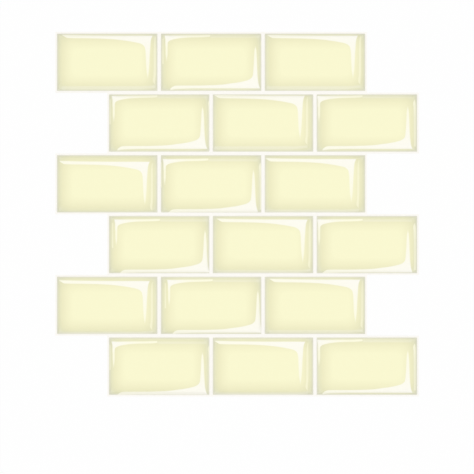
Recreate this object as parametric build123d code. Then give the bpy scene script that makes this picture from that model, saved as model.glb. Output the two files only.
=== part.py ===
from build123d import *
import os

# A peel-and-stick backsplash sheet, 12 by 12 inches nominal, in millimetres. Bricks of clear gel
# stand on a printed vinyl sheet in running bond, and the release liner still covers the adhesive on
# its back. The sheet lies face up: X runs along the courses, +Y is up the wall, +Z is out of the
# wall, and the origin is the middle of the liner's back.

# Brick pattern
brick_length = 84.6
brick_height = 48.5
joint_width = 2.4
bricks_in_course = 3
courses = 6
bond_shift_share = 0.5

# Thicknesses, from the back to the face
liner_thickness = 0.15
vinyl_thickness = 0.35
gel_thickness = 1.5

# Edge of a brick, where the poured gel rises in an arc from its printed outline to its level middle,
# and the rolled-over corners, where the arcs of two edges meet
meniscus_width = 5.0
corner_blend_radius = 2.0

# Corners of the steel-rule die that cuts the sheet out
die_corner_radius = 0.6

# Spacing of the bricks. The sheet ends half a joint outside its bricks, so that two sheets
# set edge to edge make one whole joint.
brick_pitch = brick_length + joint_width
course_pitch = brick_height + joint_width
course_length = bricks_in_course * brick_pitch
bond_shift = bond_shift_share * brick_pitch


def course_middle(course):
    """The middle of a course, counted from the top. Each second course is shifted to the right."""
    shift = bond_shift if course % 2 == 0 else 0.0
    along = shift - bond_shift / 2
    up = ((courses + 1) / 2 - course) * course_pitch
    return along, up


def brick_middle(course, brick):
    """The middle of a brick, counted from the left end of its course."""
    along, up = course_middle(course)
    return along + (brick - (bricks_in_course + 1) / 2) * brick_pitch, up


def die_cut_sheet(back, thickness):
    """A sheet of the whole pattern's outline: one strip for each course, stepped at both ends."""
    strips = [Pos(*course_middle(course)) * Rectangle(course_length, course_pitch)
              for course in range(1, courses + 1)]
    outline = Sketch() + strips
    outline = fillet(outline.vertices(), die_corner_radius)
    return Pos(0, 0, back) * extrude(outline, thickness)


def arched_bar(foot, length):
    """A bar of gel along Y, level on top, whose two sides rise from its foot as arcs.

    An arc leaves the foot at the gel's contact angle and is level where it meets the top.
    """
    side = foot / 2
    crown = side - meniscus_width
    arc_radius = (meniscus_width ** 2 + gel_thickness ** 2) / (2 * gel_thickness)
    right_arc = RadiusArc((side, 0), (crown, gel_thickness), -arc_radius)
    left_arc = mirror(right_arc, Plane.YZ)
    underside = Line((-side, 0), (side, 0))
    top = Line((crown, gel_thickness), (-crown, gel_thickness))
    section = make_face([underside, right_arc, top, left_arc])
    return extrude(Plane.XZ * section, length / 2, both=True)


def poured_brick():
    """One brick of gel with its foot at Z = 0: what two crossed bars share, with its mitres blended."""
    upright_bar = arched_bar(brick_length, brick_height)
    level_bar = Rot(0, 0, 90) * arched_bar(brick_height, brick_length)
    pillow = upright_bar & level_bar
    mitres = pillow.edges().filter_by(GeomType.LINE, reverse=True)
    return fillet(mitres, corner_blend_radius)


vinyl_back = liner_thickness
vinyl_face = vinyl_back + vinyl_thickness
brick_shape = poured_brick()

parts = {
    "release_liner": die_cut_sheet(0, liner_thickness),
    "vinyl_sheet": die_cut_sheet(vinyl_back, vinyl_thickness),
}
for course in range(1, courses + 1):
    for brick in range(1, bricks_in_course + 1):
        place = Pos(*brick_middle(course, brick), vinyl_face)
        parts[f"gel_brick_course_{course}_no_{brick}"] = place * brick_shape

os.makedirs("parts", exist_ok=True)
for node, shape in parts.items():
    export_step(shape, f"parts/{node}.step")
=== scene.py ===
# %% [markdown]
# A peel-and-stick backsplash sheet: eighteen bricks of clear gel on a printed vinyl sheet.
#
# The real sheet is made in four steps. A white vinyl film is printed with cream bricks, each with
# painted shade towards its edge, a darker outline and pale glints, which are painted highlights. The
# film is laminated to its adhesive and its release liner. Liquid polyurethane is poured on each
# printed brick, where it runs out just past the print's edge and stops, held by its surface tension.
# Last, a steel-rule die cuts the stepped outline.
#
# This scene dresses the imported CAD model. The flat sheets keep their CAD meshes, because their
# shape is already right. The bricks are modelled again, with a finer curve where the gel rises from
# its edge, because that curve is what catches the light.

# %% Load the imported model
import math

import bmesh
import bpy
from mathutils import Matrix, Vector


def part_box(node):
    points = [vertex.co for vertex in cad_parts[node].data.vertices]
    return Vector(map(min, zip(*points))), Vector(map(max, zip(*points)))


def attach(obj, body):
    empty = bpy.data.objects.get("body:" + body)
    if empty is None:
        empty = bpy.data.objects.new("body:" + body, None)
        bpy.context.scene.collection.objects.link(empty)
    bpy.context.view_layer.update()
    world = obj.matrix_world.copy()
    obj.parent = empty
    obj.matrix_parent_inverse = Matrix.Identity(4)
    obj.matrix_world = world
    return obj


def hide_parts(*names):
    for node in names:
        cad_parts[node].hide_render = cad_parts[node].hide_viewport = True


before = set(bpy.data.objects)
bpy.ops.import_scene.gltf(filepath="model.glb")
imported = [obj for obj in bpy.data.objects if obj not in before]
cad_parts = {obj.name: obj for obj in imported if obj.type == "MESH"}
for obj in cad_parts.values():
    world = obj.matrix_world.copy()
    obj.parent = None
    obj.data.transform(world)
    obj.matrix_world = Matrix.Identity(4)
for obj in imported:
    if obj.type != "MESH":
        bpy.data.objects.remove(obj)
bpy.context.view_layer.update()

# %% [markdown]
# Sizes of so thin a thing are easiest to read in millimetres, while Blender works in metres, so one
# factor stands for a millimetre. The places of the bricks come from the CAD model's parts and not
# from numbers typed here, so that the scene follows the CAD when its sizes change.

# %% Millimetres, and the places of the bricks
MM = 0.001
COURSES = 6
BRICKS_IN_COURSE = 3
BODY = "root"

brick_nodes = {}
for course in range(1, COURSES + 1):
    for number in range(1, BRICKS_IN_COURSE + 1):
        brick_nodes[course, number] = f"gel_brick_course_{course}_no_{number}"

first_low, first_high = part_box(brick_nodes[1, 1])
BRICK_LENGTH = first_high.x - first_low.x
BRICK_HEIGHT = first_high.y - first_low.y
GEL_THICKNESS = first_high.z - first_low.z
VINYL_FACE = first_low.z
print("A brick is", round(BRICK_LENGTH / MM, 2), "by", round(BRICK_HEIGHT / MM, 2), "mm")

# %% [markdown]
# Colours are picked as the hex values that a paint program shows. Blender's shaders count light
# instead, so each value is turned to linear once, here.

# %% Colours
HIGHEST_LEVEL = 255
# the sRGB standard's curve: a straight line for the darkest shades, and a power above them
LINE_END = 0.04045
LINE_SLOPE = 12.92
POWER_OFFSET = 0.055
POWER = 2.4


def linear(hex_colour):
    """Turns an sRGB hex colour such as 'FAF8D1' into linear red, green, blue and alpha."""
    light = []
    for place in (0, 2, 4):
        share = int(hex_colour[place:place + 2], 16) / HIGHEST_LEVEL
        if share <= LINE_END:
            light.append(share / LINE_SLOPE)
        else:
            light.append(((share + POWER_OFFSET) / (1 + POWER_OFFSET)) ** POWER)
    return (*light, 1.0)


WHITE = linear("FFFFFF")
print("Middle grey 808080 is", round(linear("808080")[0], 3), "of full light")

# %% [markdown]
# A material is a small graph of nodes. One helper adds a node of any kind, sets its properties and
# fills its sockets, either with a value or with a link from another node's output.

# %% Adding a node
def node(tree, kind, inputs=None, **settings):
    """Adds one node. settings are its own properties, inputs holds a value or a link per socket."""
    made = tree.nodes.new(kind)
    for name, value in settings.items():
        setattr(made, name, value)
    for socket, value in (inputs or {}).items():
        if isinstance(value, bpy.types.NodeSocket):
            tree.links.new(value, made.inputs[socket])
        else:
            made.inputs[socket].default_value = value
    return made


def empty_material(name):
    """A new material with nothing in it but the output that the finished surface goes to."""
    material = bpy.data.materials.new(name)
    material.use_nodes = True
    material.node_tree.nodes.clear()
    output = node(material.node_tree, "ShaderNodeOutputMaterial")
    return material, material.node_tree, output


print("A new material has", len(empty_material("trial")[1].nodes), "node")
bpy.data.materials.remove(bpy.data.materials["trial"])

# %% [markdown]
# The sheet is photographed from straight above, lying flat. A long lens far away keeps the rows of
# bricks parallel, as a copy stand does. The camera's height follows from the lens, the sensor and
# how many millimetres one pixel of the picture spans at the film's level.

# %% Camera
PICTURE_PIXELS = 474
PIXEL_SPAN = 0.8377 * MM
# Blender takes the sensor and the lens in millimetres
SENSOR_WIDTH = 36.0
LENS = 100.0
# where the middle of the sheet falls in the picture, in pixels from its top left corner
SHEET_MIDDLE_ACROSS = 237.05
SHEET_MIDDLE_DOWN = 214.2

camera_data = bpy.data.cameras.new("copy_camera")
camera_data.lens = LENS
camera_data.sensor_width = SENSOR_WIDTH
camera_data.sensor_fit = "HORIZONTAL"
camera = bpy.data.objects.new("copy_camera", camera_data)
bpy.context.scene.collection.objects.link(camera)
camera_height = PICTURE_PIXELS * PIXEL_SPAN * LENS / SENSOR_WIDTH
camera.location = (
    (PICTURE_PIXELS / 2 - SHEET_MIDDLE_ACROSS) * PIXEL_SPAN,
    (SHEET_MIDDLE_DOWN - PICTURE_PIXELS / 2) * PIXEL_SPAN,
    VINYL_FACE + camera_height,
)
bpy.context.scene.camera = camera
print("Camera at", [round(value, 4) for value in camera.location], "m")

# %% [markdown]
# A product shot of a glossy sheet is lit by one large softbox straight overhead and by white walls.
# The softbox is so wide that every level gel face mirrors it evenly, with no edge of it showing.
# The walls are the world's own white. A Light Path node tells apart what a ray is for: the rays
# that carry light to the sheet get dim walls, and the rays that end in the eye, straight, mirrored
# or through glass, get plain white ones.

# %% Light
SOFTBOX_SIZE = 2.4
SOFTBOX_HEIGHT = 1.6
SOFTBOX_POWER = 17.8
WALL_STRENGTH = 0.6

scene = bpy.context.scene
scene.view_settings.view_transform = "Standard"

softbox_data = bpy.data.lights.new("overhead_softbox", "AREA")
softbox_data.shape = "SQUARE"
softbox_data.size = SOFTBOX_SIZE
softbox_data.energy = SOFTBOX_POWER
softbox = bpy.data.objects.new("overhead_softbox", softbox_data)
softbox.location = (0.0, 0.0, SOFTBOX_HEIGHT)
scene.collection.objects.link(softbox)


def seen_plainly(tree):
    """1 for a ray that ends in the eye, straight, mirrored or through glass, and 0 for others."""
    path = node(tree, "ShaderNodeLightPath")
    seen = path.outputs["Is Camera Ray"]
    for kind in ("Is Glossy Ray", "Is Transmission Ray"):
        seen = node(tree, "ShaderNodeMath", {0: seen, 1: path.outputs[kind]},
                    operation="MAXIMUM").outputs[0]
    return seen


world = bpy.data.worlds.new("white_walls")
world.use_nodes = True
scene.world = world
walls = world.node_tree
walls.nodes.clear()
wall_strength = node(walls, "ShaderNodeMapRange", {
    "Value": seen_plainly(walls),
    "To Min": WALL_STRENGTH,
    "To Max": 1.0,
})
backdrop = node(walls, "ShaderNodeBackground", {
    "Color": WHITE,
    "Strength": wall_strength.outputs["Result"],
})
node(walls, "ShaderNodeOutputWorld", {"Surface": backdrop.outputs[0]})
print("Light: a softbox of", SOFTBOX_SIZE, "m at", SOFTBOX_HEIGHT, "m")

# %% [markdown]
# The sheet lies on white seamless paper. What the camera sees of the paper is partly its lit
# surface, which keeps the sheet's soft shadow, and partly plain white, so the background of the
# picture is as clean as in a catalogue.
#
# The paper has no underside. A camera below it sees through it to the back of the sheet, and it
# holds no light away from there.

# %% Floor
FLOOR_HALF_WIDTH = 8.0
PAPER_COLOUR = "FBFBFB"
CLEAN_SHARE = 0.85
# the paper lies this far below the liner, so that the two faces don't share one place
FLOOR_DROP = 0.05 * MM

paper, paper_tree, paper_output = empty_material("seamless_paper")
clean_share = node(paper_tree, "ShaderNodeMath", {
    0: seen_plainly(paper_tree),
    1: CLEAN_SHARE,
}, operation="MULTIPLY")
matt_paper = node(paper_tree, "ShaderNodeBsdfDiffuse", {"Color": linear(PAPER_COLOUR)})
plain_white = node(paper_tree, "ShaderNodeEmission", {"Color": WHITE, "Strength": 1.0})
upper_side = node(paper_tree, "ShaderNodeMixShader", {
    0: clean_share.outputs[0],
    1: matt_paper.outputs[0],
    2: plain_white.outputs[0],
})
sides = node(paper_tree, "ShaderNodeNewGeometry")
open_underside = node(paper_tree, "ShaderNodeBsdfTransparent")
one_sided = node(paper_tree, "ShaderNodeMixShader", {
    0: sides.outputs["Backfacing"],
    1: upper_side.outputs[0],
    2: open_underside.outputs[0],
})
paper_tree.links.new(one_sided.outputs[0], paper_output.inputs["Surface"])

floor_mesh = bpy.data.meshes.new("paper_floor")
floor_shape = bmesh.new()
bmesh.ops.create_grid(floor_shape, x_segments=1, y_segments=1, size=FLOOR_HALF_WIDTH)
bmesh.ops.translate(floor_shape, verts=floor_shape.verts, vec=(0.0, 0.0, -FLOOR_DROP))
floor_shape.to_mesh(floor_mesh)
floor_shape.free()
floor_mesh.materials.append(paper)
floor = bpy.data.objects.new("paper_floor", floor_mesh)
scene.collection.objects.link(floor)
floor.visible_diffuse = False
floor.visible_shadow = False
print("Floor laid", round(FLOOR_DROP / MM, 2), "mm below the liner's back")

# %% [markdown]
# A brick of gel is a drop. Its foot stops at the printed outline, its edge rises in an arc, and
# the arc runs out level into a flat middle. At a corner two arcs meet and roll over softly.
#
# It could be a box with bevelled edges, but a bevel is a quarter circle, while the drop leaves the
# film at a shallow angle. So it is made like a stack of contour lines on a map: each ring is a
# rounded rectangle, a little smaller and higher than the last, and the rings are bridged. A
# rounded rectangle comes from a one-face grid whose four corner points are bevelled.

# %% One brick of gel
MENISCUS_WIDTH = 5.0 * MM
FOOT_CORNER_RADIUS = 1.0 * MM
CROWN_CORNER_RADIUS = 4.2 * MM
# the steps from the foot's contour to the crown's
ARC_STEPS = 12
CORNER_SEGMENTS = 10
# create_grid takes half of a side, so this is a square of one by one, which is then scaled
HALF_A_UNIT = 0.5
# the profile at which a bevel is part of a circle
ROUND_PROFILE = 0.5

ARC_RADIUS = (MENISCUS_WIDTH ** 2 + GEL_THICKNESS ** 2) / (2 * GEL_THICKNESS)
CONTACT_ANGLE = math.asin(MENISCUS_WIDTH / ARC_RADIUS)


def contour(shape, share):
    """Adds the contour at a share of the arc, 0 at the foot and 1 at the crown, as one face."""
    angle = CONTACT_ANGLE * (1 - share)
    inward = MENISCUS_WIDTH - ARC_RADIUS * math.sin(angle)
    height = GEL_THICKNESS - ARC_RADIUS * (1 - math.cos(angle))
    roundness = inward / MENISCUS_WIDTH
    radius = FOOT_CORNER_RADIUS + roundness * (CROWN_CORNER_RADIUS - FOOT_CORNER_RADIUS)
    size = Matrix.Diagonal((BRICK_LENGTH - 2 * inward, BRICK_HEIGHT - 2 * inward, 1.0, 1.0))
    lift = Matrix.Translation((0.0, 0.0, height))
    corners = bmesh.ops.create_grid(
        shape, x_segments=1, y_segments=1, size=HALF_A_UNIT, matrix=lift @ size)["verts"]
    rounded = bmesh.ops.bevel(
        shape, geom=corners, affect="VERTICES", offset_type="OFFSET", offset=radius,
        segments=CORNER_SEGMENTS, profile=ROUND_PROFILE, material=-1)
    rim = {edge for point in rounded["verts"] for edge in point.link_edges}
    face = next(iter(rim)).link_faces[0]
    return face, list(rim)


def poured_gel():
    """One brick, its foot at Z = 0 and its middle at the origin."""
    shape = bmesh.new()
    contours = [contour(shape, step / ARC_STEPS) for step in range(ARC_STEPS + 1)]
    inner_faces = [face for face, rim in contours[1:-1]]
    bmesh.ops.delete(shape, geom=inner_faces, context="FACES_ONLY")
    rims = [rim for face, rim in contours]
    for low_rim, high_rim in zip(rims, rims[1:]):
        bmesh.ops.bridge_loops(shape, edges=low_rim + high_rim)
    bmesh.ops.recalc_face_normals(shape, faces=shape.faces)
    for face in shape.faces:
        face.smooth = True
    foot_face, foot_rim = contours[0]
    foot_face.smooth = False
    for edge in foot_rim:
        edge.smooth = False
    return shape


brick_pattern = poured_gel()
open_edges = [edge for edge in brick_pattern.edges if not edge.is_manifold]
print("One brick has", len(brick_pattern.faces), "faces and", len(open_edges), "open edges")
print("Its contact angle is", round(math.degrees(CONTACT_ANGLE), 1), "degrees")

# %% [markdown]
# The film under the gel is printed, and its painted glints aren't in quite the same place on every
# brick: they lie up to four millimetres across or down from where they are drawn. Nine copies of
# each material could hold that, but a mesh can hold it too, with two UV maps. One follows the
# brick. The other, for the glints alone, is slid against it. Both run from 0 to 1 over the brick,
# the glints' own counted from the top left.

# %% Placing the bricks
# how far each brick's glints sit to the right and down from where they are drawn, in millimetres
GLINT_WANDER = {
    1: ((-0.3, 0.2), (-0.2, -0.3), (-2.6, 0.2)),
    2: ((-0.9, -0.6), (-3.4, -0.4), (-3.2, -0.6)),
    3: ((-2.7, 4.0), (-1.8, 1.4), (-4.0, 1.7)),
    4: ((1.2, 1.0), (-1.1, 1.4), (-3.1, 1.0)),
    5: ((-2.7, 2.0), (1.9, 0.6), (-0.6, 0.8)),
    6: ((-1.0, 1.4), (-3.1, 1.8), (-3.2, 0.0)),
}
PRINT_MAP = "print"
GLINT_MAP = "glints"
# where the middle of a brick is on a map that runs from 0 to 1
MAP_MIDDLE = 0.5


def brick_mesh(name, middle, wander):
    """A copy of the brick at its place on the vinyl, with its two UV maps."""
    shape = brick_pattern.copy()
    print_layer = shape.loops.layers.uv.new(PRINT_MAP)
    glint_layer = shape.loops.layers.uv.new(GLINT_MAP)
    slide = Vector((wander[0] * MM / BRICK_LENGTH, wander[1] * MM / BRICK_HEIGHT))
    for face in shape.faces:
        for loop in face.loops:
            across = loop.vert.co.x / BRICK_LENGTH + MAP_MIDDLE
            up = loop.vert.co.y / BRICK_HEIGHT + MAP_MIDDLE
            loop[print_layer].uv = (across, up)
            loop[glint_layer].uv = Vector((across, 1.0 - up)) - slide
    bmesh.ops.translate(shape, verts=shape.verts, vec=middle)
    mesh = bpy.data.meshes.new(name)
    shape.to_mesh(mesh)
    shape.free()
    return mesh


bricks = {}
for (course, number), cad_node in brick_nodes.items():
    low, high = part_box(cad_node)
    middle = Vector(((low.x + high.x) / 2, (low.y + high.y) / 2, low.z))
    name = f"poured_brick_course_{course}_no_{number}"
    mesh = brick_mesh(name, middle, GLINT_WANDER[course][number - 1])
    piece = bpy.data.objects.new(name, mesh)
    scene.collection.objects.link(piece)
    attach(piece, BODY)
    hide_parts(cad_node)
    bricks[course, number] = piece
brick_pattern.free()
print("Poured", len(bricks), "bricks")

# %% [markdown]
# The glints are drawn the way a sign painter would: each has limbs, and a limb is what lies between
# two curves. A band runs along the brick, and its near and far curves are its upper and lower
# edges. A blade runs down the brick, and they are its left and right edges. Points are in
# millimetres from the brick's top left corner, and from and to are where a limb ends.
#
# A glint is whitest at one corner. Over its reach, across and down, its colour passes from the
# first of its colours to the second, and its cover from the first strength to the second.
#
# The print has two bricks that take turns. The first has one tall glint that hangs from its top
# right corner. The second has a small one at its top left and a large one at its bottom right.

# %% Drawings of the three glints
# the glints are painted highlights: reflections of light drawn into the print's colour
GLINT_WHITE = "F8F6EC"
GLINT_CREAM = "F9F7DC"

TALL_GLINT = {
    "limbs": (
        {
            "runs": "band", "from": 5.0, "to": 75.0,
            "near": ((0.0, 1.15), (9.0, 1.2), (20.0, 1.5), (30.0, 1.65), (40.0, 1.75),
                     (50.0, 1.85), (84.6, 1.85)),
            "far": ((0.0, 0.0), (5.0, 1.6), (9.5, 3.85), (28.0, 4.2), (40.0, 4.55),
                    (50.0, 5.2), (60.0, 6.45), (66.0, 7.5), (70.0, 8.4), (72.0, 9.3),
                    (73.6, 10.7), (74.5, 12.5), (75.0, 15.5), (84.6, 24.0)),
        },
        {
            "runs": "blade", "from": 1.9, "to": 38.0,
            "near": ((0.0, 73.5), (10.6, 74.3), (16.0, 74.9), (20.0, 75.05), (28.0, 75.4),
                     (32.0, 75.75), (37.0, 76.6), (48.5, 78.0)),
            "far": ((0.0, 81.2), (2.0, 80.6), (4.5, 79.6), (8.0, 79.0), (12.0, 78.75),
                    (16.0, 78.45), (20.0, 78.25), (28.0, 77.85), (32.0, 77.5), (37.0, 76.7),
                    (48.5, 75.0)),
        },
    ),
    "brightest": (80.0, 2.5), "reach": (120.0, 32.0), "strength": (1.0, 1.0),
    "colours": (GLINT_WHITE, GLINT_CREAM),
}
SMALL_GLINT = {
    "limbs": (
        {
            "runs": "band", "from": 4.3, "to": 41.8,
            "near": ((0.0, 2.3), (10.0, 2.25), (20.0, 2.1), (32.0, 2.0), (40.0, 1.8),
                     (84.6, 1.8)),
            "far": ((0.0, 12.0), (5.4, 11.0), (6.4, 8.0), (7.9, 6.65), (10.0, 5.85),
                    (12.0, 5.35), (16.0, 4.65), (20.4, 4.2), (26.0, 3.95), (32.0, 3.8),
                    (38.0, 3.6), (42.0, 3.25), (84.6, 2.0)),
        },
        {
            "runs": "blade", "from": 2.2, "to": 24.0,
            "near": ((0.0, 3.2), (4.0, 4.0), (6.0, 4.3), (8.0, 4.4), (12.0, 4.5),
                     (18.0, 4.6), (23.0, 5.2), (48.5, 7.0)),
            "far": ((0.0, 8.0), (6.0, 6.6), (8.0, 6.35), (10.3, 6.2), (14.0, 6.15),
                    (18.0, 6.1), (23.0, 5.4), (48.5, 4.0)),
        },
    ),
    "brightest": (4.5, 3.0), "reach": (24.0, 10.0), "strength": (1.0, 1.0),
    "colours": (GLINT_WHITE, GLINT_CREAM),
}
LARGE_GLINT = {
    "limbs": (
        {
            "runs": "band", "from": 8.3, "to": 78.0,
            "near": ((0.0, 49.5), (8.6, 46.5), (10.3, 45.2), (12.5, 44.4), (19.4, 44.2),
                     (30.0, 44.2), (40.0, 44.0), (47.7, 43.7), (52.0, 43.4), (57.0, 42.7),
                     (64.5, 41.7), (70.7, 40.4), (74.0, 39.35), (76.0, 38.1), (77.2, 36.5),
                     (77.7, 33.5), (78.3, 28.0), (84.6, 24.0)),
            "far": ((0.0, 48.5), (8.0, 47.9), (12.0, 47.2), (20.0, 46.75), (30.0, 46.5),
                    (84.6, 46.5)),
        },
        {
            "runs": "blade", "from": 11.0, "to": 46.5,
            "near": ((0.0, 81.5), (12.0, 79.4), (14.2, 78.95), (16.5, 78.7), (20.0, 78.5),
                     (25.0, 78.3), (30.0, 78.0), (34.0, 77.75), (37.0, 77.5), (48.5, 76.0)),
            "far": ((0.0, 79.0), (12.0, 79.7), (14.2, 80.25), (16.5, 80.5), (20.0, 80.75),
                    (30.0, 81.1), (38.5, 81.65), (43.8, 82.5), (46.3, 83.4), (48.5, 84.2)),
        },
    ),
    "brightest": (82.0, 46.0), "reach": (130.0, 36.0), "strength": (1.0, 1.0),
    "colours": (GLINT_WHITE, GLINT_CREAM),
}
print("Drawn: a tall, a small and a large glint")

# %% [markdown]
# Beside the glints run thin streaks, as of light caught once more by the rounded edge. They are
# limbs too, but most of them cover less, so that the brick's own shade shows through. The streak at
# the far right is drawn mostly past the brick's end, and shows where the glints moved to the left.

# %% Drawings of the faint streaks
# the streaks are painted highlights too, thin reflections of light drawn into the colour
STREAK_CREAM = "F9F6D6"

RIGHT_STREAK = {
    "limbs": (
        {
            "runs": "blade", "from": 2.6, "to": 43.0,
            "near": ((0.0, 83.2), (2.5, 82.9), (5.0, 82.2), (12.0, 81.7), (30.0, 81.6),
                     (36.0, 81.4), (39.0, 81.0), (40.5, 81.1), (43.0, 82.6), (48.5, 83.5)),
            "far": ((0.0, 83.3), (2.5, 83.3), (5.0, 83.2), (12.0, 83.35), (28.0, 83.35),
                    (35.0, 83.15), (40.0, 82.8), (43.0, 82.7), (48.5, 82.5)),
        },
    ),
    "brightest": (81.8, 40.0), "reach": (80.0, 34.0), "strength": (0.62, 0.5),
    "colours": (STREAK_CREAM, STREAK_CREAM),
}
CLIPPED_STREAK = {
    "limbs": (
        {
            "runs": "blade", "from": 5.2, "to": 44.5,
            "near": ((0.0, 85.6), (5.0, 85.3), (7.0, 84.5), (9.0, 84.2), (12.0, 84.5),
                     (48.5, 84.9)),
            "far": ((0.0, 85.5), (5.0, 85.6), (7.0, 85.9), (9.0, 86.15), (12.0, 86.3),
                    (48.5, 86.4)),
        },
    ),
    "brightest": (85.2, 9.0), "reach": (80.0, 12.0), "strength": (1.0, 0.7),
    "colours": (GLINT_CREAM, GLINT_CREAM),
}
LEFT_STREAK = {
    "limbs": (
        {
            "runs": "blade", "from": 5.0, "to": 26.0,
            "near": ((0.0, 1.7), (48.5, 1.7)),
            "far": ((0.0, 2.7), (48.5, 2.7)),
        },
    ),
    "brightest": (2.2, 24.5), "reach": (80.0, 12.0), "strength": (0.8, 0.55),
    "colours": (STREAK_CREAM, STREAK_CREAM),
}
FOOT_STREAK = {
    "limbs": (
        {
            "runs": "band", "from": 4.6, "to": 83.0,
            "near": ((0.0, 44.2), (70.0, 44.2), (84.6, 43.4)),
            "far": ((0.0, 46.8), (66.0, 46.8), (76.0, 46.2), (84.6, 45.2)),
        },
    ),
    "brightest": (55.0, 45.6), "reach": (80.0, 30.0), "strength": (0.28, 0.2),
    "colours": (GLINT_WHITE, GLINT_WHITE),
}
HEAD_STREAK = {
    "limbs": (
        {
            "runs": "band", "from": 42.0, "to": 83.0,
            "near": ((0.0, 2.1), (84.6, 2.1)),
            "far": ((0.0, 4.0), (84.6, 4.2)),
        },
    ),
    "brightest": (50.0, 3.0), "reach": (60.0, 30.0), "strength": (0.24, 0.1),
    "colours": (GLINT_WHITE, GLINT_WHITE),
}
print("Drawn: five faint streaks")

# %% [markdown]
# A limb becomes nodes like this. A Float Curve node holds each drawn curve. The place across the
# limb is compared with both curves, and a Map Range turns each difference into a soft printed edge.
# The two edges and the limb's two ends are multiplied, so the painted highlight's ink lies only
# where all four agree.

# %% The ink of one limb
# how wide the soft edge of a painted highlight's ink is, in millimetres
PAINTED_HIGHLIGHT_EDGE = 1.0


def limb_highlight_ink(tree, place, limb):
    """How much of a painted highlight limb's ink lies at a place, from 0 to 1."""
    along, across = place if limb["runs"] == "band" else reversed(place)
    spans = (BRICK_LENGTH / MM, BRICK_HEIGHT / MM)
    along_span, across_span = spans if limb["runs"] == "band" else reversed(spans)
    soft_edges = []
    for side, points in ((1, limb["near"]), (-1, limb["far"])):
        drawn = node(tree, "ShaderNodeFloatCurve", {"Value": along})
        drawn.mapping.use_clip = False
        curve = drawn.mapping.curves[0]
        # a new knot may be put anywhere, because all of them get their places next
        while len(curve.points) < len(points):
            curve.points.new(0.0, 0.0)
        for knot, (there, across_there) in zip(curve.points, points):
            knot.location = (there / along_span, across_there / across_span)
            knot.handle_type = "AUTO_CLAMPED"
        drawn.mapping.update()
        beyond = node(tree, "ShaderNodeMath", {0: across, 1: drawn.outputs[0]},
                      operation="SUBTRACT")
        soft = PAINTED_HIGHLIGHT_EDGE / across_span / 2
        soft_edges.append(node(tree, "ShaderNodeMapRange", {
            "Value": beyond.outputs[0],
            "From Min": -side * soft,
            "From Max": side * soft,
        }, interpolation_type="SMOOTHSTEP"))
    for side, end in ((1, limb["from"]), (-1, limb["to"])):
        soft = PAINTED_HIGHLIGHT_EDGE / along_span / 2
        soft_edges.append(node(tree, "ShaderNodeMapRange", {
            "Value": along,
            "From Min": end / along_span - side * soft,
            "From Max": end / along_span + side * soft,
        }, interpolation_type="SMOOTHSTEP"))
    ink = soft_edges[0].outputs[0]
    for soft_edge in soft_edges[1:]:
        ink = node(tree, "ShaderNodeMath", {0: ink, 1: soft_edge.outputs[0]},
                   operation="MULTIPLY").outputs[0]
    return ink


print("A limb takes two curves and four soft edges")

# %% [markdown]
# The limbs of a glint overlap where they meet. Their inks are joined by taking the larger one, so
# that the overlap isn't printed twice. A Mapping node centres the place on the glint's brightest
# corner and measures it in reaches, and the length of that vector drives the cover and the colour.

# %% Printing a glint
def add_glint(tree, glint_map, glint, below):
    """Paints a glint, a painted highlight, over the colour below it, whitest at its corner and
    creamier at its tips.
    """
    place = node(tree, "ShaderNodeSeparateXYZ", {0: glint_map})
    first, *others = [limb_highlight_ink(tree, (place.outputs["X"], place.outputs["Y"]), limb)
                      for limb in glint["limbs"]]
    ink = first
    for other in others:
        ink = node(tree, "ShaderNodeMath", {0: ink, 1: other}, operation="MAXIMUM").outputs[0]
    length, height = BRICK_LENGTH / MM, BRICK_HEIGHT / MM
    (corner_x, corner_y), (reach_x, reach_y) = glint["brightest"], glint["reach"]
    from_corner = node(tree, "ShaderNodeMapping", {
        "Vector": glint_map,
        "Location": (-corner_x / reach_x, -corner_y / reach_y, 0.0),
        "Scale": (length / reach_x, height / reach_y, 1.0),
    })
    distance = node(tree, "ShaderNodeVectorMath", {0: from_corner.outputs[0]}, operation="LENGTH")
    strong, faint = glint["strength"]
    fading = node(tree, "ShaderNodeMapRange", {
        "Value": distance.outputs["Value"],
        "To Min": strong,
        "To Max": faint,
    })
    cover = node(tree, "ShaderNodeMath", {0: ink, 1: fading.outputs[0]}, operation="MULTIPLY")
    tint = node(tree, "ShaderNodeMix", {
        "Factor": distance.outputs["Value"],
        "A": linear(glint["colours"][0]),
        "B": linear(glint["colours"][1]),
    }, data_type="RGBA")
    return node(tree, "ShaderNodeMix", {
        "Factor": cover.outputs[0],
        "A": below,
        "B": tint.outputs["Result"],
    }, data_type="RGBA").outputs["Result"]


print("Glints pass from", GLINT_WHITE, "to", GLINT_CREAM)

# %% [markdown]
# The printed brick under the gel is cream in the middle and darker towards its edge: painted shade,
# as if its face were rounded. To paint that, a material has to know how far in from the edge each
# place is. The print's UV map gives the place, and the distance to the nearer end and to the nearer
# long side follow from it.

# %% How far in from the edge
def inward_distances(tree):
    """How far in a place is from the brick's ends and from its long sides, in millimetres."""
    print_map = node(tree, "ShaderNodeUVMap", uv_map=PRINT_MAP)
    place = node(tree, "ShaderNodeSeparateXYZ", {0: print_map.outputs[0]})
    inward = []
    for axis, span in (("X", BRICK_LENGTH / MM), ("Y", BRICK_HEIGHT / MM)):
        from_middle = node(tree, "ShaderNodeMath", {0: place.outputs[axis], 1: MAP_MIDDLE},
                           operation="SUBTRACT")
        off_middle = node(tree, "ShaderNodeMath", {0: from_middle.outputs[0]},
                          operation="ABSOLUTE")
        inward.append(node(tree, "ShaderNodeMapRange", {
            "Value": off_middle.outputs[0],
            "From Min": 0.0,
            "From Max": MAP_MIDDLE,
            "To Min": span / 2,
            "To Max": 0.0,
        }).outputs[0])
    return inward


print("The middle of a brick is", round(BRICK_HEIGHT / MM / 2, 2), "mm in from its long sides")
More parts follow.
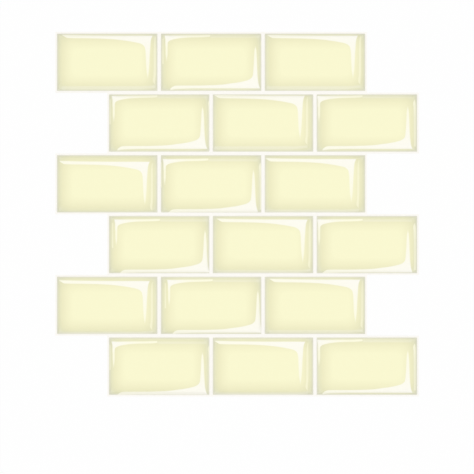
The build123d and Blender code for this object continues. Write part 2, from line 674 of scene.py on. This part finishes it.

# %% [markdown]
# The painted shade itself is a colour ramp over that distance. A plain minimum of the two distances
# would leave a crease along each corner's diagonal, so a smooth minimum takes its place.

# %% Shade of the printed brick
# colours of the painted shade at distances in from the edge, in millimetres, less than 0 where a
# corner is rounded off
PAINTED_EDGE_SHADES = (
    (-1.5, "D4D4B7"), (0.0, "DDDDC0"), (1.0, "E2E1C2"), (2.0, "E5E4C0"), (3.2, "E4E2B9"),
    (5.2, "E8E5BA"), (8.4, "EEEBC0"), (13.8, "F4F2C7"),
)
# how far apart the two distances may be, in millimetres, and still be rounded into one
CORNER_ROUNDING = 9.0
# the painted shade of the long sides starts this many millimetres further out than that of the ends
LONG_SIDE_LEAD = 0.5


def shaded_cream(tree, inward):
    """The brick's cream, with painted shade darker towards its edge."""
    from_ends, from_sides = inward
    ahead = node(tree, "ShaderNodeMath", {0: from_sides, 1: LONG_SIDE_LEAD}, operation="ADD")
    rounded = node(tree, "ShaderNodeMath", {
        0: from_ends,
        1: ahead.outputs[0],
        2: CORNER_ROUNDING,
    }, operation="SMOOTH_MIN")
    shade_from, shade_to = PAINTED_EDGE_SHADES[0][0], PAINTED_EDGE_SHADES[-1][0]
    depth = node(tree, "ShaderNodeMapRange", {
        "Value": rounded.outputs[0],
        "From Min": shade_from,
        "From Max": shade_to,
    })
    shade = node(tree, "ShaderNodeValToRGB", {"Fac": depth.outputs[0]})
    stops = shade.color_ramp.elements
    # new stops wait at the ramp's end, and all of them get their places next
    while len(stops) < len(PAINTED_EDGE_SHADES):
        stops.new(1.0)
    for stop, (distance, colour) in zip(stops, PAINTED_EDGE_SHADES):
        stop.position = (distance - shade_from) / (shade_to - shade_from)
        stop.color = linear(colour)
    return shade.outputs["Color"]


print("The shade runs over", PAINTED_EDGE_SHADES[-1][0], "mm in", len(PAINTED_EDGE_SHADES), "colours")

# %% [markdown]
# In the corners, where the shades of an end and of a long side overlap, painted shade makes the
# print darker still. Each distance is turned to a nearness from 0 to 1, and the product of the two
# is large only where both are near.
#
# Last comes a greyer outline. It follows the plain minimum of the distances, which keeps its
# corners sharp.

# %% Corners and outline of the printed brick
# the reach of the painted corner shade and the width of the outline are in millimetres
CORNER_REACH = 14.0
CORNER_SHADE_TONE = 0.9
OUTLINE_COLOUR = "EAE8DA"
OUTLINE_WIDTH = 1.6
OUTLINE_STRENGTH = 0.8


def painted_corner_shade(tree, inward, shade):
    """Paints extra shade into the brick's corners, by toning a shade down there."""
    near_end, near_side = [node(tree, "ShaderNodeMapRange", {
        "Value": distance,
        "From Max": CORNER_REACH,
        "To Min": 1.0,
        "To Max": 0.0,
    }).outputs[0] for distance in inward]
    overlap = node(tree, "ShaderNodeMath", {0: near_end, 1: near_side}, operation="MULTIPLY")
    corner_shade_scale = node(tree, "ShaderNodeMapRange", {
        "Value": overlap.outputs[0],
        "To Min": 1.0,
        "To Max": CORNER_SHADE_TONE,
    })
    return node(tree, "ShaderNodeVectorMath", {
        0: shade,
        "Scale": corner_shade_scale.outputs[0],
    }, operation="SCALE").outputs[0]


def outlined(tree, nearest, shade):
    """Adds the printed outline to a shade."""
    outline = node(tree, "ShaderNodeMapRange", {
        "Value": nearest,
        "From Max": OUTLINE_WIDTH,
        "To Min": OUTLINE_STRENGTH,
        "To Max": 0.0,
    }, interpolation_type="SMOOTHSTEP")
    return node(tree, "ShaderNodeMix", {
        "Factor": outline.outputs["Result"],
        "A": shade,
        "B": linear(OUTLINE_COLOUR),
    }, data_type="RGBA").outputs["Result"]


print("A corner is toned down to", CORNER_SHADE_TONE, "and the outline is", OUTLINE_WIDTH, "mm wide")

# %% [markdown]
# The whole print is the painted shade, its outline and the glints, which are painted highlights,
# over them. Its edge is soft, and past it the gel lies over bare film as a thin clear rim. Ink-jet
# dots are under a tenth of a millimetre, too fine to show here, so the faint grain that they gather
# into is drawn coarser than it is.

# %% The print on the film
RIM_COLOUR = "FAF8F1"
# the widths of the rim and of the grain are in millimetres
RIM_WIDTH = 0.48
INK_GRAIN = 0.9
INK_GRAIN_DETAIL = 2.0
INK_GRAIN_DARKEST = 0.985


def printed_film(tree, where, glints):
    """The colour of the film under one brick: painted shade, outline, glints as painted highlights,
    clear rim and ink grain.
    """
    inward = inward_distances(tree)
    nearest = node(tree, "ShaderNodeMath", {0: inward[0], 1: inward[1]},
                   operation="MINIMUM").outputs[0]
    print_with_painted_light = outlined(tree, nearest, painted_corner_shade(tree, inward, shaded_cream(tree, inward)))
    glint_map = node(tree, "ShaderNodeUVMap", uv_map=GLINT_MAP).outputs[0]
    for glint in glints:
        print_with_painted_light = add_glint(tree, glint_map, glint, print_with_painted_light)
    on_print = node(tree, "ShaderNodeMapRange", {
        "Value": nearest,
        "From Max": RIM_WIDTH,
    }, interpolation_type="SMOOTHSTEP")
    rimmed = node(tree, "ShaderNodeMix", {
        "Factor": on_print.outputs["Result"],
        "A": linear(RIM_COLOUR),
        "B": print_with_painted_light,
    }, data_type="RGBA")
    grain = node(tree, "ShaderNodeTexNoise", {
        "Vector": where,
        "Scale": 1 / (INK_GRAIN * MM),
        "Detail": INK_GRAIN_DETAIL,
    })
    ink_cover = node(tree, "ShaderNodeMapRange", {
        "Value": grain.outputs["Fac"],
        "To Min": INK_GRAIN_DARKEST,
        "To Max": 1.0,
    })
    return node(tree, "ShaderNodeVectorMath", {
        0: rimmed.outputs["Result"],
        "Scale": ink_cover.outputs[0],
    }, operation="SCALE").outputs[0]


print("The print's edge fades out over", RIM_WIDTH, "mm")

# %% [markdown]
# The finish of a brick is clear polyurethane gel, poured over that ink-jet print. The eye sees the
# print through it and the room in it. A true body of glass over a picture would be slow and noisy,
# and gives nearly the same sight, so the print is the base colour and the gel is a clear coat with
# the gel's refractive index, 1.5. The matt ink has little sheen of its own, because the gel wets
# it.
#
# Level gel is nearly smooth, but it settles with a slow swell some fifteen millimetres wide and a
# hundredth of a millimetre high, which bends reflections.

# %% Finish of the gel bricks
GEL_IOR = 1.5
GEL_ROUGHNESS = 0.05
# the width and the height of the swell are in millimetres
SWELL_WIDTH = 15.0
SWELL_HEIGHT = 0.012
SWELL_DETAIL = 1.0
PRINT_ROUGHNESS = 0.5
PRINT_SPECULAR = 0.2


def gel_over_print(name, glints):
    """Clear poured gel over a printed brick with the given glints."""
    material, tree, output = empty_material(name)
    where = node(tree, "ShaderNodeTexCoord").outputs["Object"]
    swell = node(tree, "ShaderNodeTexNoise", {
        "Vector": where,
        "Scale": 1 / (SWELL_WIDTH * MM),
        "Detail": SWELL_DETAIL,
    })
    gel_normal = node(tree, "ShaderNodeBump", {
        "Strength": 1.0,
        "Distance": SWELL_HEIGHT * MM,
        "Height": swell.outputs["Fac"],
    })
    gel = node(tree, "ShaderNodeBsdfPrincipled", {
        "Base Color": printed_film(tree, where, glints),
        "Roughness": PRINT_ROUGHNESS,
        "Specular IOR Level": PRINT_SPECULAR,
        "Coat Weight": 1.0,
        "Coat Roughness": GEL_ROUGHNESS,
        "Coat IOR": GEL_IOR,
        "Coat Normal": gel_normal.outputs[0],
    })
    tree.links.new(gel.outputs[0], output.inputs["Surface"])
    return material


tall_print = gel_over_print(
    "poured_polyurethane_on_tall_glint",
    (TALL_GLINT, RIGHT_STREAK, FOOT_STREAK))
paired_print = gel_over_print(
    "poured_polyurethane_on_paired_glints",
    (SMALL_GLINT, LARGE_GLINT, LEFT_STREAK, CLIPPED_STREAK, HEAD_STREAK))
for (course, number), piece in bricks.items():
    takes_tall = (course + number) % 2 == 0
    piece.data.materials.append(tall_print if takes_tall else paired_print)
print("Gel finishes have", len(tall_print.node_tree.nodes), "and",
      len(paired_print.node_tree.nodes), "nodes")

# %% [markdown]
# The sheet itself is calendered PVC, the soft vinyl of wall films. Steel rollers press it out, and
# one of them is blasted, which leaves a fine matt grain. It shows bare only in the joints and round
# the edge, as a warm white with a low sheen, very slightly cloudy where its pigment is uneven.

# %% Finish of the vinyl sheet
VINYL_COLOUR = "FBF9F4"
VINYL_CLOUD_COLOUR = "FAF7F1"
# the sizes of the clouds and of the grain are in millimetres
VINYL_CLOUD = 22.0
VINYL_CLOUD_DETAIL = 2.0
# a true matt grain is about a tenth of a millimetre wide, too fine to show even from close by, so
# it is drawn coarser
VINYL_GRAIN = 0.35
VINYL_GRAIN_HEIGHT = 0.01
VINYL_GRAIN_DETAIL = 3.0
VINYL_GRAIN_STRENGTH = 0.6
VINYL_IOR = 1.53
VINYL_ROUGHNESS = 0.55
VINYL_SPECULAR = 0.3

vinyl, vinyl_tree, vinyl_output = empty_material("calendered_vinyl_film")
vinyl_where = node(vinyl_tree, "ShaderNodeTexCoord").outputs["Object"]
clouds = node(vinyl_tree, "ShaderNodeTexNoise", {
    "Vector": vinyl_where,
    "Scale": 1 / (VINYL_CLOUD * MM),
    "Detail": VINYL_CLOUD_DETAIL,
})
vinyl_tone = node(vinyl_tree, "ShaderNodeMix", {
    "Factor": clouds.outputs["Fac"],
    "A": linear(VINYL_COLOUR),
    "B": linear(VINYL_CLOUD_COLOUR),
}, data_type="RGBA")
roller_grain = node(vinyl_tree, "ShaderNodeTexNoise", {
    "Vector": vinyl_where,
    "Scale": 1 / (VINYL_GRAIN * MM),
    "Detail": VINYL_GRAIN_DETAIL,
})
vinyl_bump = node(vinyl_tree, "ShaderNodeBump", {
    "Strength": VINYL_GRAIN_STRENGTH,
    "Distance": VINYL_GRAIN_HEIGHT * MM,
    "Height": roller_grain.outputs["Fac"],
})
vinyl_surface = node(vinyl_tree, "ShaderNodeBsdfPrincipled", {
    "Base Color": vinyl_tone.outputs["Result"],
    "Roughness": VINYL_ROUGHNESS,
    "IOR": VINYL_IOR,
    "Specular IOR Level": VINYL_SPECULAR,
    "Normal": vinyl_bump.outputs[0],
})
vinyl_tree.links.new(vinyl_surface.outputs[0], vinyl_output.inputs["Surface"])
print("Vinyl finish has", len(vinyl_tree.nodes), "nodes")

# %% [markdown]
# The release liner is paper, made slippery on one side with silicone. Its outer side is bare and
# faintly mottled: fibres some three millimetres long, felted in all directions, and a fine tooth.
# Noise with a little distortion draws such felt without drawing a single fibre.

# %% Finish of the release liner
LINER_COLOUR = "F1EEE4"
FIBRE_COLOUR = "E2DDCE"
# the sizes of the fibres and of the tooth are in millimetres
FIBRE_LENGTH = 3.0
FIBRE_DETAIL = 5.0
FIBRE_RAGGEDNESS = 0.7
FIBRE_CURL = 1.5
# the levels of the noise between which the paper's colour passes over to that of its fibres
FIBRES_BEGIN = 0.45
FIBRES_FULL = 0.75
# the true tooth is about a tenth of a millimetre wide, and is drawn coarser, as the vinyl's grain is
PAPER_TOOTH = 0.25
PAPER_TOOTH_HEIGHT = 0.008
PAPER_TOOTH_DETAIL = 2.0
PAPER_TOOTH_STRENGTH = 0.8
LINER_ROUGHNESS = 0.8
LINER_SPECULAR = 0.25

liner, liner_tree, liner_output = empty_material("silicone_release_paper")
liner_where = node(liner_tree, "ShaderNodeTexCoord").outputs["Object"]
fibres = node(liner_tree, "ShaderNodeTexNoise", {
    "Vector": liner_where,
    "Scale": 1 / (FIBRE_LENGTH * MM),
    "Detail": FIBRE_DETAIL,
    "Roughness": FIBRE_RAGGEDNESS,
    "Distortion": FIBRE_CURL,
})
fibre_share = node(liner_tree, "ShaderNodeMapRange", {
    "Value": fibres.outputs["Fac"],
    "From Min": FIBRES_BEGIN,
    "From Max": FIBRES_FULL,
})
liner_tone = node(liner_tree, "ShaderNodeMix", {
    "Factor": fibre_share.outputs[0],
    "A": linear(LINER_COLOUR),
    "B": linear(FIBRE_COLOUR),
}, data_type="RGBA")
tooth = node(liner_tree, "ShaderNodeTexNoise", {
    "Vector": liner_where,
    "Scale": 1 / (PAPER_TOOTH * MM),
    "Detail": PAPER_TOOTH_DETAIL,
})
liner_bump = node(liner_tree, "ShaderNodeBump", {
    "Strength": PAPER_TOOTH_STRENGTH,
    "Distance": PAPER_TOOTH_HEIGHT * MM,
    "Height": tooth.outputs["Fac"],
})
liner_surface = node(liner_tree, "ShaderNodeBsdfPrincipled", {
    "Base Color": liner_tone.outputs["Result"],
    "Roughness": LINER_ROUGHNESS,
    "Specular IOR Level": LINER_SPECULAR,
    "Normal": liner_bump.outputs[0],
})
liner_tree.links.new(liner_surface.outputs[0], liner_output.inputs["Surface"])
print("Liner finish has", len(liner_tree.nodes), "nodes")

# %% [markdown]
# The vinyl sheet and the liner are the CAD model's own meshes. They are only given their finishes,
# in the material slots that they bring from model.glb.

# %% Finishes of the carried-over CAD nodes
for cad_node, material in (("vinyl_sheet", vinyl), ("release_liner", liner)):
    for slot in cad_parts[cad_node].material_slots:
        slot.material = material
        print(cad_node, "is finished as", material.name)
